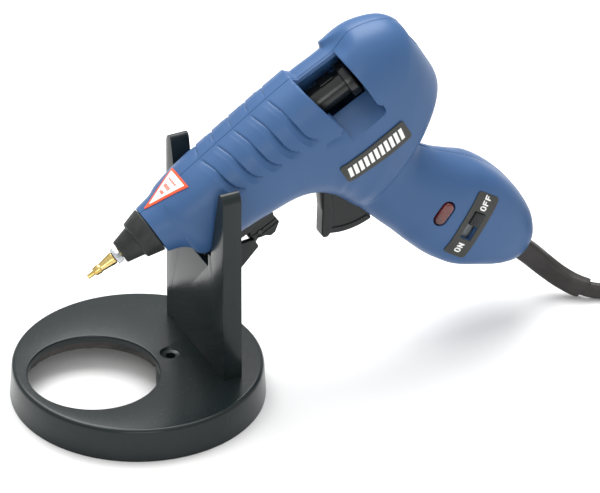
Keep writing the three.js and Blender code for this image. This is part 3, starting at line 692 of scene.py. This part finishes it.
def depth_of_ribs(a, q):
    """The crescents: steep at their line, running out to nothing in front of it."""
    depth = np.zeros(a.shape)
    for corner, low in RIBS:
        high = 0.76 * np.interp(corner, [80, 132], [17.3, 22.1]) - 0.6
        path = [(corner + x, high * share) for x, share in RIB_UPPER]
        path += [(corner + x, low + y) for x, y in RIB_LOWER]
        d, share = to_polyline(path, a, q)
        d = -d
        left = 1 - share
        wide = np.maximum(RIB_WIDTH * unit(left / 0.14) ** 0.6, 0.05)
        deep = RIB_DEPTH[0] + (RIB_DEPTH[1] - RIB_DEPTH[0]) * step_between(share, *RIB_FADE)
        deep = deep * unit(share / 0.06) * unit(left / 0.12) ** 0.5
        edge = unit((wide - d) / 0.45)
        front = 0.28 * edge + 0.72 * unit(1 - d / wide)
        back = unit(1 + d / 0.3)
        line = RIB_LINE[0] * np.exp(-(d / RIB_LINE[1]) ** 2) * step_between(share, 0.02, 0.1)
        line = line * (1 - step_between(share, 0.85, 1))
        near = (a > corner - 12) & (a < corner + 7) & (q > low - 9)
        found = deep * np.where(d > 0, front, back) + line
        depth = np.where(near, np.maximum(depth, found), depth)
    return depth


def depth_round_window(a, y, n, q):
    """Eased edge of the window, and the shallow groove running forward from its floor."""
    rear_a, rear_n = np.array(WINDOW_REAR).T
    front_edge = WINDOW_FRONT + (WINDOW_CREST - n) * WINDOW_SLOPE[0] / WINDOW_SLOPE[1]
    rear_edge = np.interp(n, rear_n, rear_a)
    floor = SCOOP[0][1] - SCOOP[1] * (y - SCOOP[0][0])
    out = np.maximum.reduce([front_edge - a, a - rear_edge, WINDOW_TOP - y, floor - n])
    r = WINDOW_EASE
    x = np.clip(r - out, 0, r)
    depth = np.where(out > -0.3, r - np.sqrt(r * r - x * x), 0) * 0.9
    path = [(147.5, -21.3), (140, -21), (134, -20.8), (128, -20.9)]
    d, share = to_polyline(path, a, q)
    wide = np.maximum(4.2 * (1 - share), 0.4)
    near = (a > 126) & (a < 147.5) & (q > -29) & (q < -17)
    profile = np.where(d > 0, unit(1 - d / wide), unit(1 + d / 0.4))
    return depth, np.where(near, 1.5 * (1 - share) ** 0.7 * profile, 0)


def depth_of_details(p, side):
    """How far each point of the outer surface lies in from the plain shape."""
    a, y, n = p[..., 0], p[..., 1] * side, p[..., 2]
    q = 0.76 * n - 0.65 * y  # down the flank, square to the barrel
    depth = depth_of_ribs(a, q)
    eased, deep = EDGE_EASE
    edge = unit(1 - (y - SPLIT) / eased)
    depth = depth + deep * edge**2
    if side < 0:
        for part in depth_round_window(a, y, n, q):
            depth = depth + part
    return depth + recess(p, side)


def recess(p, side, grow=0.0):
    """The lower strip over the window, between the ribbed panel and the hood behind it.
    grow moves its ends outwards, for the inside of the wall."""
    a, y, n = p[..., 0], p[..., 1], p[..., 2]
    fall = np.clip(WINDOW_CREST - n, 0, 30) if side < 0 else 0
    front_edge = RECESS_FRONT + fall * WINDOW_SLOPE[0] / WINDOW_SLOPE[1]
    begins = unit((a + grow - front_edge) / 2.4)
    abrupt = step_between(y, 2, 11)
    ends = 160.6 + 1.5 * (1 - abrupt) + grow
    lip = step_between(a, ends, ends + 1.7 + 14 * (1 - abrupt))
    flank_share = step_between(y, -13, -2) if side < 0 else step_between(n, -24, -4)
    return 2.9 * begins * (1 - lip) * flank_share


def outward(grid):
    """Unit normals of a grid of points, away from its middle line."""
    normal = np.cross(np.gradient(grid, axis=0), np.gradient(grid, axis=1))
    normal /= np.maximum(np.linalg.norm(normal, axis=2), 1e-9)[..., None]
    middle = grid.mean(axis=1, keepdims=True) * [1, 0, 1]
    return normal * np.sign((normal * (grid - middle)).sum(2))[..., None]


def half_shell(side):
    """One half of the housing, and a tree of its outer surface for what lies on it."""
    grid = half_sections(side, 0, SPLIT, knots(), SHELL_PARTS)
    fine = grid - outward(grid) * depth_of_details(grid, side)[..., None]
    fine[:, 0, 1] = fine[:, -1, 1] = side * SPLIT
    outer = swept(fine.tolist())
    tree = BVHTree.FromPolygons([v.co.copy() for v in outer.data.vertices],
                                [tuple(f.vertices) for f in outer.data.polygons])
    rows = np.concatenate([np.arange(0, 10, 0.25), np.arange(10, 15, 0.1),
                           np.arange(15, len(STATIONS) - 2, 0.25), [len(STATIONS) - 2.0]])
    inner = half_sections(side, 1, -1.2, rows, 40, forward=2.0)
    inner = inner - outward(inner) * recess(inner, side, 2.2)[..., None]
    hollow = swept(inner.tolist())

    def post(at, r, y0, y1):
        return drum(r, side * y0, side * y1, 32, "y", at)

    for at in SCREWS:
        cut(hollow, post(at, 3.4, SPLIT, 40))
    cut(hollow, post(PIVOT, 4.4, 11.3, 40))
    if side < 0:  # solid behind the window's floor
        cut(hollow, slab([(-8.2, -18), (-27, -18), (-27, -4), (-8.2, -4)], 142.5, 169.5))
    shell = cut(outer, hollow)
    for at in SCREWS:
        if side < 0:
            cut(shell, post(at, 1.5, -2, 12))
        else:
            w = side_of(tree, *at, 60)
            cut(shell, post(at, 1.8, -2, 40), post(at, 3.1, w - 4, 40))
    cut(shell, drum(2.3, -14, 14, 32, "y", PIVOT))
    throat = [(108, -43), (115, -35), (126, -38), (138, -58), (142, -84), (127, -84.5),
              (106, -80)]
    cut(shell, prism(rounded(throat, 1.5), -4.7, 4.7))
    cut(shell, drum(GUIDE_R + 0.35, 190, 215))
    hole = lead(route_part(12, 0.05, 0.42, 14), 12.3, 8.0, power=0.5)
    hole.data.transform(GUN.inverted())
    cut(shell, hole)
    if side < 0:
        run, fall = WINDOW_SLOPE
        window = [(WINDOW_FRONT - 17.7 * run / fall, 40), (145.4, -7.6), (145.4, -20),
                  *WINDOW_REAR]
        opening = prism(window, -40, -WINDOW_TOP)
        (y, z), slope = SCOOP
        above_floor = [(0, 41), (0, z + slope * y), (-41, z - slope * (41 - y)), (-41, 41)]
        combine(opening, slab(above_floor, 100, 200), "INTERSECT")
        cut(shell, opening)
        cut(shell, prism(oblong(LAMP, 14.4, 7.8, LAMP_TURN), -30, -10))
        seat = rounded(rectangle(SWITCH, 15.5, 6.6, SWITCH_TURN), 0.5)
        cut(shell, prism(seat, -30, -10))
    return shell, tree


def side_of(tree, x, z, outside):
    """y of the surface over a point of the parting plane, seen from y = outside."""
    inwards = Vector((0, -copysign(1, outside), 0))
    return tree.ray_cast(Vector((x, outside, z)), inwards)[0].y


TREES = {}


def housings():
    for side, name in ((-1, "left"), (1, "right")):
        shell, TREES[side] = half_shell(side)
        piece(shell, f"housing_shell_{name}", "blue",
              f"housing_{name}", sharp=24, flat_over=6e-6)
    back = [(137, -12), (166, -12), (166, 12), (158, 13.6), (137, 12.4)]
    wall = bevelled(prism(back, 12.7, 13.7), 0.2, 2)
    rail = bevelled(prism([(140, 5), (164, 5), (164, 6), (140, 6)], 12.2, 13), 0.15, 2)
    # Wall behind the window in the lighter blue copy, painted light standing in for light on
    # this shaded wall.
    piece(join(wall, rail), "window_back_wall", "blue_inside_painted_light")


def flank(x, z):
    """y of the left side over a point of the parting plane."""
    return side_of(TREES[-1], x, z, -70)


def top(x, y):
    """Height of the barrel's top. The gap between the halves counts as their edge."""
    across = copysign(max(abs(y), SPLIT + 0.5), y)
    hit = TREES[-1 if y < 0 else 1].ray_cast(Vector((x, across, 70)), Vector((0, 0, -1)))
    return hit[0].z


# ---- barrel and inner parts ----
def barrel():
    # Brass tip, hexagon nut and rubber boot, from the front back.
    profile = rounded([
        (0.55, 0), (1.15, 0.25), (1.2, 4), (2.1, 4.15), (2.45, 6.6), (2.45, 7.4), (2.15, 8),
        (3.2, 15), (3.2, 16.2), (2.6, 16.4), (2.6, 27), (1.8, 27), (1.8, 18), (0.55, 4),
    ], 0.35, 4)
    piece(turned(profile, 72), "nozzle_tip", "brass", "nozzle")
    angles = [pi * k / 3 + 0.26 for k in range(6)]
    nut = slab([(4.75 * cos(f), 4.75 * sin(f)) for f in angles], 16.6, 20)
    chamfer = [(0, 15), (4.1, 15), (4.1, 16.6), (4.9, 17.5), (4.9, 21), (0, 21)]
    combine(nut, turned(chamfer, 64), "INTERSECT")
    cut(nut, drum(2.95, 10, 30, 48))
    piece(bevelled(nut, 0.15, 2), "hex_nut", "steel", "nozzle_nut")
    profile = rounded([
        (5.5, 20.3), (6.2, 20.6), (8.3, 29.6), (10.2, 30.2), (12.3, 38.4), (12.3, 39.3),
        (9.3, 39.4), (9.3, 46), (8.7, 46), (8.7, 33), (5.5, 24.5),
    ], [0.6, 0.7, 0.5, 0.7, 0.8, 0.4, 0.1, 0.1, 0.1, 0.5, 0.5], 5)
    piece(turned(profile, 96), "rubber_boot", "rubber", "nozzle_boot")
    # Carriage: a tube, its collar, and an ear that the trigger's arm pushes.
    tube = drum(GUIDE_R, 141, 161, 96, edges=(0.7, 0))
    ear = bevelled(prism([(160, -11), (165, -11), (165, 3), (160, 3)], 0.3, 12), 0.6, 3)
    join(tube, drum(10.2, 160, 165, 96, edges=(0.8, 0.8)), ear)
    cut(tube, drum(STICK_R, 100, 210))
    piece(tube, "stick_carriage", "carriage", "feed_carriage", "carriage")
    pad = bevelled(prism([(149, 7.95), (157, 7.95), (157, 8.8), (149, 8.8)], -3, 3), 0.2, 2)
    piece(pad, "grip_pad", "carriage", "carriage_grip", "carriage")
    guide = drum(GUIDE_R, 168.5, 198.8, 96, edges=(0.5, 0.8))
    flare = [(0, 160), (STICK_R, 160), (STICK_R, 198.2), (6.9, 198.9), (6.9, 210), (0, 210)]
    cut(guide, turned(flare, 64))
    piece(guide, "guide_tube", "carriage", "stick_guide_tube")


# CAD pieces whose shape stands as it is.
KEPT = {"aluminium": ("heating_chamber",), "silicone": ("inlet_sleeve",),
        "ceramic": ("heater_cartridge", "terminal_block"), "bulb": ("lamp_bulb",),
        "inner": ("chamber_support_front", "chamber_support_rear", "hook_pin"),
        "steel": ("inlet_clamp", "trigger_pin", "return_spring", "upright_screw_1",
                  "upright_screw_2"),
        "floor_plate": ("switch_body",), "iron": ("base_weight",)}


def kept_nodes():
    for material, names in KEPT.items():
        for name in names:
            paint(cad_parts[name].data, material)


def trigger():
    px, pz = PIVOT

    def arc_round(r, degrees):
        return [(px + r * cos(radians(d)), pz + r * sin(radians(d))) for d in degrees]

    # Fin with a thicker rim along its lower arc, finger rib in front, hub and drive arm.
    arc = arc_round(35.2, range(229, 269, 3))
    inner_arc = arc_round(31.8, range(266, 229, -3))
    web = prism([(px - 4, pz + 5), (119.9, -43.2), (114.6, -55), (110.2, -68), *arc,
                 (137, -60), (139, -46), (px + 1, pz + 5.4)], -3, 3.0)
    body = bevelled(web, 0.4, 2)
    rim = bevelled(prism([(110.9, -67.7), *arc, *inner_arc, (112.2, -65.6)], -3.6, 3.6), 0.5, 3)
    rib = prism(rounded([
        (123.5, -41.6), (121.2, -44.2), (115.2, -54.8), (110.2, -63), (106.9, -68.6),
        (106.8, -70.6), (109, -71.8), (112, -70.6), (117.6, -63.4), (122.6, -52),
        (127, -43)], 1.2, 3), -3.9, 3.9)
    rib = bevelled(rib, 2.4, 8, 50)
    hub = turned(rounded([(0, -10.6), (5.4, -10.6), (5.4, 10.6), (0, 10.6)], [0, 0.6, 0.6, 0]),
                 48, "y", PIVOT)
    arm = bevelled(prism([
        (131, -40), (146.5, -34.5), (157.5, -26.5), (164.4, -17.5), (165.8, -9.5),
        (166.8, -6.2), (169.4, -5.7), (170.8, -8), (170.4, -15), (166.5, -23), (158, -34),
        (148.5, -41), (137, -47)], 8.4, 10.6), 0.4, 2)
    join(body, rim, rib, hub, arm)
    cut(body, drum(2.4, -20, 20, 32, "y", PIVOT))
    piece(body, "trigger_lever", "trigger", "trigger", "trigger", 38)


# ---- labels, lamp and switch ----
def sheet_on(place, nu, nv, low, high, on_top=False):
    """Thin closed sheet over the left flank or the barrel's top, from a grid of places."""
    rings = []
    for i in range(nu + 1):
        under, over = [], []
        for j in range(nv + 1):
            a, b = place(i / nu, j / nv)
            base = top(a, b) if on_top else flank(a, b)
            for points, off in ((under, low), (over, high)):
                points.append((a, b, base + off) if on_top else (a, base - off, b))
        rings.append(under + over[::-1])
    return swept(rings)


def rounded_place(x0, x1, z0, z1, r):
    """A grid over a rectangle with rounded corners."""
    def place(u, v):
        x = x0 + (x1 - x0) * u
        near = min(x - x0, x1 - x)
        pull = r - sqrt(max(r * r - max(r - near, 0) ** 2, 0))
        return x, z0 + pull + (z1 - z0 - 2 * pull) * v
    return place


def marks(shapes, low, high, on_top=False):
    """Small flat prints in one piece: each is a grid of places and its two counts."""
    verts, faces = [], []
    for place, nu, nv in shapes:
        ob = sheet_on(place, nu, nv, low, high, on_top)
        k = len(verts)
        verts += [v.co.copy() for v in ob.data.vertices]
        faces += [[k + i for i in f.vertices] for f in ob.data.polygons]
        bpy.data.objects.remove(ob)
    return blank(verts, faces)


def bar_place(c, x0, x1, z0, z1, lean):
    """A grid over a leaning bar beside c."""
    def place(u, v):
        x, z = x0 + (x1 - x0) * u, z0 + (z1 - z0) * v
        return c[0] + x + lean * z, c[1] + z
    return place


def on_switch(x, z):
    """A place on the switch plate, from the switch's middle along and across the plate."""
    return around(SWITCH, x, z, SWITCH_TURN)


def stroke(a, b, wide):
    """A grid along a straight stroke from a to b on the switch plate."""
    def place(u, v):
        d = Vector(b) - Vector(a)
        side = Vector((-d.y, d.x)).normalized() * wide / 2
        return on_switch(*(Vector(a) + d * u + side * (2 * v - 1)))
    return place


def letters():
    """Block capitals as strokes of width t on a cell w wide and h high."""
    w, h, t, gap = 2.4, 3.6, 0.72, 0.55
    low, high, right = t / 2, h - t / 2, w - t / 2
    o = [((low, 0.5), (low, h - 0.5)), ((right, 0.5), (right, h - 0.5)),
         ((0.5, low), (w - 0.5, low)), ((0.5, high), (w - 0.5, high))]
    n = [((low, 0), (low, h)), ((right, 0), (right, h)), ((low, h - 0.3), (right, 0.3))]
    f = [((low, 0), (low, h)), ((0, high), (w, high)), ((0, h * 0.52), (w * 0.85, h * 0.52))]
    shapes = []
    for word, middle in (((o, n), -13.2), ((o, f, f), 13.5)):
        start = middle - (len(word) * (w + gap) - gap) / 2
        for k, letter in enumerate(word):
            at = start + k * (w + gap)
            for a, b in letter:
                shapes.append((stroke((a[0] + at, a[1] - h / 2),
                                      (b[0] + at, b[1] - h / 2), t), 3, 1))
    return shapes


def side_parts():
    plate = sheet_on(rounded_place(132, 171.5, -37, -24, 1.6), 60, 14, 0.15, 0.75)
    piece(bevelled(plate, 0.12, 2, 50), "name_strip", "label", "name_plate")
    # Plain bars instead of any lettering.
    shapes = [(bar_place((151.75, -30.5), -17.0 + 3.15 * k, -14.9 + 3.15 * k, -3.5, 3.5, 0.14),
               2, 5) for k in range(11)]
    piece(marks(shapes, 0.7, 0.84), "name_strip_bars", "white")

    place = rounded_place(-18.3, 18.3, -6.6, 6.6, 1.5)
    label = sheet_on(lambda u, v: on_switch(*place(u, v)), 56, 20, 0.12, 0.6)
    cut(label, prism(rounded(rectangle(SWITCH, 15.9, 7.0, SWITCH_TURN), 0.5), -30, -10))
    piece(label, "switch_plate", "label", "switch_label")
    piece(marks(letters(), 0.55, 0.7), "switch_words", "white")

    at = on_switch(SLIDER_AT, 0)
    y = flank(*at)
    slider = prism(rectangle(at, 7.2, 5.8, SWITCH_TURN), y - 1.3, -13.9)
    for k in range(-3, 4):  # grooves across the knob
        spot = around(at, k, 0, SWITCH_TURN)
        cut(slider, prism(rectangle(spot, 0.42, 8, SWITCH_TURN), y - 2, y - 0.7))
    piece(bevelled(slider, 0.12, 2), "switch_knob", "slider",
          "switch_slider", "switch")

    y = flank(*LAMP)
    lens = prism(oblong(LAMP, 12.8, 6.4, LAMP_TURN, 16), y - 0.9, y + 3.4)
    piece(bevelled(lens, 1.3, 6), "lamp_cover", "lamp", "lamp_lens")


def warning():
    """Plain triangle over the barrel's top: orange border, white field and short bars."""
    x0, x1, w0, w1 = 43, 66.5, 0.25, 9.5  # its tip and base, and half their widths
    slope = (w1 - w0) / (x1 - x0)
    long = hypot(1, slope)

    def triangle(inset):
        def place(u, v):
            a = x0 + inset * long / slope
            x = a + (x1 - inset - a) * u
            half = w0 + slope * (x - x0) - inset * long
            return x, (2 * v - 1) * max(half, 0.05)
        return place

    def bar(x, y, wide, step):
        return lambda u, v: (x + wide * (u - 0.5), y + step * 0.66 * (v - 0.5))

    border = sheet_on(triangle(0), 40, 28, 0.12, 0.55, True)
    piece(border, "warning_border", "orange", "warning_label")
    field = sheet_on(triangle(1.25), 34, 24, 0.5, 0.64, True)
    piece(field, "warning_field", "white")
    rows = ((54.6, 1.7, 1.7), (58.2, 2, 2.9), (61.9, 1.1, 4.0))  # x, width, half length
    shapes = [(bar(x, j * (2 * half / 5), wide, 2 * half / 5), 3, 3)
              for x, wide, half in rows for j in range(-2, 3)]
    piece(marks(shapes, 0.6, 0.72, True), "warning_bars", "orange")


def screws():
    for i, at in enumerate(SCREWS, 1):
        w = side_of(TREES[1], *at, 60)
        profile = rounded([(0, -10), (1.2, -9), (1.2, w - 3.7), (2.8, w - 3.7),
                           (2.8, w - 2.2), (2.2, w - 1.7), (0, w - 1.6)],
                          [0, 0, 0, 0.1, 0.4, 0.4, 0])
        body = turned(profile, 40, "y", at)
        for turn in (0.3, 0.3 + pi / 2):
            cut(body, prism(rectangle(at, 3.2, 0.7, turn), w - 2.5, w + 1))
        piece(body, f"case_screw_{i}", "steel", f"housing_screw_{i}")


# ---- bracket and hook ----
HOOK_PIN = (82.5, -39)


def bracket():
    rail = bevelled(prism([
        (53.6, -28.6), (55, -28.1), (66, -29.1), (80, -30), (93.5, -32), (93.5, -35.6),
        (62.6, -35.2), (60, -33.3), (52.9, -29.3)], -7, 7), 0.6, 3)
    block = bevelled(prism(rounded([
        (78.8, -34.9), (92.8, -34.9), (93.5, -41.4), (88.8, -45.2), (86, -45.4),
        (83.8, -43.2), (80.4, -41.9), (78.6, -38.6)],
        [0.3, 0.3, 1.2, 1.2, 1, 1, 1, 1], 4), -7, 7), 0.7, 4, 50)
    for y in (-7, 7):
        for z in (-38.2, -40.8):
            groove = [(77, z - 0.35), (95.5, z - 0.15), (95.5, z + 0.55), (77, z + 0.35)]
            cut(block, prism(groove, y - 0.55, y + 0.55))
    body = join(rail, block)
    slot = prism([(70, -50), (89.5, -50), (89.5, -35.5), (70, -35.5)], -4.1, 4.1)
    cut(body, slot, drum(1.7, -9, 9, 32, "y", HOOK_PIN))
    piece(body, "hook_bracket", "trigger", "hook_mount", sharp=38)
    foot = bevelled(prism(rounded([
        (49.2, -53.7), (50.2, -54.2), (62.9, -51.4), (78, -46.6), (78.1, -41.4),
        (74.5, -39.6), (70.7, -38.1), (64, -37.3), (58.8, -37.4)],
        0.6, 3), -6.5, -3.6), 0.5, 3, 45)
    tongue = bevelled(prism([
        (76.6, -46), (80, -44.4), (83, -43.2), (85, -41.2), (85.7, -39), (84.8, -36.9),
        (82.9, -35.95), (80, -36.7), (76.6, -40.8)], -3.8, 3.8), 0.15, 2)
    join(foot, tongue)
    cut(foot, drum(1.8, -9, 9, 32, "y", HOOK_PIN))
    piece(foot, "rest_hook", "trigger", "stand_hook", "hook", 38)


# ---- stand ----
DISC_X, DISC_R, DISC_H = -36.5, 64, 18
DISC_TOP = 15.4  # underside of the disc's top
DRIP_X, DRIP_R = -60.75, 33
BENCH_HOLE = -18.5
FORK_SCREWS = (20, -20)  # y of the two screws up into the fork plate


def stand():
    r, h, skin, dr = DISC_R, DISC_H, DISC_TOP, DRIP_R
    shell = turned(rounded([
        (0, skin), (r - 3.2, skin), (r - 2.6, 0), (r, 0), (r - 0.9, h), (0, h),
    ], [0, 1.2, 0.3, 0.4, 2.6, 0], 8, closed=False), 240, "z", (DISC_X, 0))

    def bore(x, y, radius, z0, z1):
        return drum(radius, z0, z1, 48, "z", (x, y))

    rim = turned([(dr - 0.5, skin - 1), (dr + 2, skin - 1), (dr + 2, skin + 1),
                  (dr - 0.5, skin + 1)], 160, "z", (DRIP_X, 0))
    posts = [(0, 0, 9), (BENCH_HOLE, 0, 7.5)] + [(0, y, 6) for y in FORK_SCREWS]
    join(shell, rim, *(bore(*post, 0, skin + 0.5) for post in posts))
    flare = [(0, -1), (dr, -1)]
    flare += [(dr + 0.9 - 0.9 * cos(f), h - 0.9 + 0.9 * sin(f))
              for f in np.linspace(0, pi / 2, 7)]
    flare += [(dr + 0.9, h + 5), (0, h + 5)]
    cut(shell, turned(flare, 160, "z", (DRIP_X, 0)))
    sink = [(0, 16.3), (2.6, 16.3), (4.6, 16.7), (5, 17.4), (5.35, 17.9), (5.6, 18.1),
            (5.6, 30), (0, 30)]
    cut(shell, turned(sink, 64, "z", (BENCH_HOLE, 0)), bore(BENCH_HOLE, 0, 2.5, -1, 30))
    for y in FORK_SCREWS:
        cut(shell, bore(0, y, 2.1, -1, 30), bore(0, y, 4.1, -1, 4))
    piece(shell, "base_disc", "black", "stand_base", "stand", 38)

    # Fork plate: half its outline, from the disc up the prong and down into the slot.
    half, crown, floor = 34, 125.5, 75
    prong = [(half, h + 0.15), (half, crown - 4.5), (half - 0.8, crown - 1.8),
             (half - 2.4, crown - 0.3), (half - 4, crown), (half - 5.2, crown - 0.7),
             (half - 5.9, crown - 2.2), (19, floor + 7.5), (16, floor + 7.5), (16, floor)]
    outline = prong + [(-y, z) for y, z in reversed(prong)]
    radii = [0, 3, 2, 2, 2, 1.2, 2, 1, 0.5, 1.2]
    plate = slab(rounded(outline, radii + radii[::-1], 5), -5, 5)
    cut(plate, *(bore(0, y, 1.8, 0, h + 15) for y in FORK_SCREWS))
    piece(bevelled(plate, 0.55, 3), "fork_plate", "black",
          "stand_upright", "stand", 38)


# ---- studio ----
FLOOR = (12, 12)  # metres
HORIZON, ZENITH = 0.34, 1.15  # strengths of the sky
LIGHT_AIM = Vector((0.05, 0, 0.09))
# Place, width and height, and power of each light.
LIGHTS = {"key": ((0.2, 0.55, 1.2), (1.1, 1.1), 25),
          "fill": ((-0.6, -1.5, 0.6), (0.9, 0.6), 6)}


def studio():
    mesh = bpy.data.meshes.new("floor")
    corners = [(x, y, 0) for x, y in rectangle((0, 0), *FLOOR, 0)]
    mesh.from_pydata(corners, [], [(0, 1, 2, 3)])
    m = bpy.data.materials.new("floor")
    m.use_nodes = True
    put(m.node_tree.nodes["Principled BSDF"], Base_Color=(0.84, 0.838, 0.835, 1),
        Roughness=0.9, Emission_Color=(1, 1, 1, 1), Emission_Strength=0.02,
        Specular_IOR_Level=0.1)
    mesh.materials.append(m)
    placed("floor", mesh)

    world = bpy.data.worlds.new("world")
    bpy.context.scene.world = world
    world.use_nodes = True
    n, link = world.node_tree.nodes, world.node_tree.links.new
    where, parts = n.new("ShaderNodeTexCoord"), n.new("ShaderNodeSeparateXYZ")
    height = n.new("ShaderNodeMapRange")
    put(height, To_Min=HORIZON, To_Max=ZENITH)
    link(where.outputs["Generated"], parts.inputs[0])
    link(parts.outputs["Z"], height.inputs["Value"])
    link(height.outputs[0], n["Background"].inputs["Strength"])
    put(n["Background"], Color=(1, 1, 1, 1))

    for name, (at, size, power) in LIGHTS.items():
        light = bpy.data.lights.new(name, "AREA")
        light.shape, light.size, light.size_y, light.energy = "RECTANGLE", *size, power
        aimed(placed(name, light), at, LIGHT_AIM - Vector(at))
    bpy.context.scene.view_settings.view_transform = "Standard"


camera()
materials()
cord()
housings()
barrel()
kept_nodes()
trigger()
side_parts()
warning()
screws()
bracket()
stand()
studio()

bpy.context.view_layer.update()
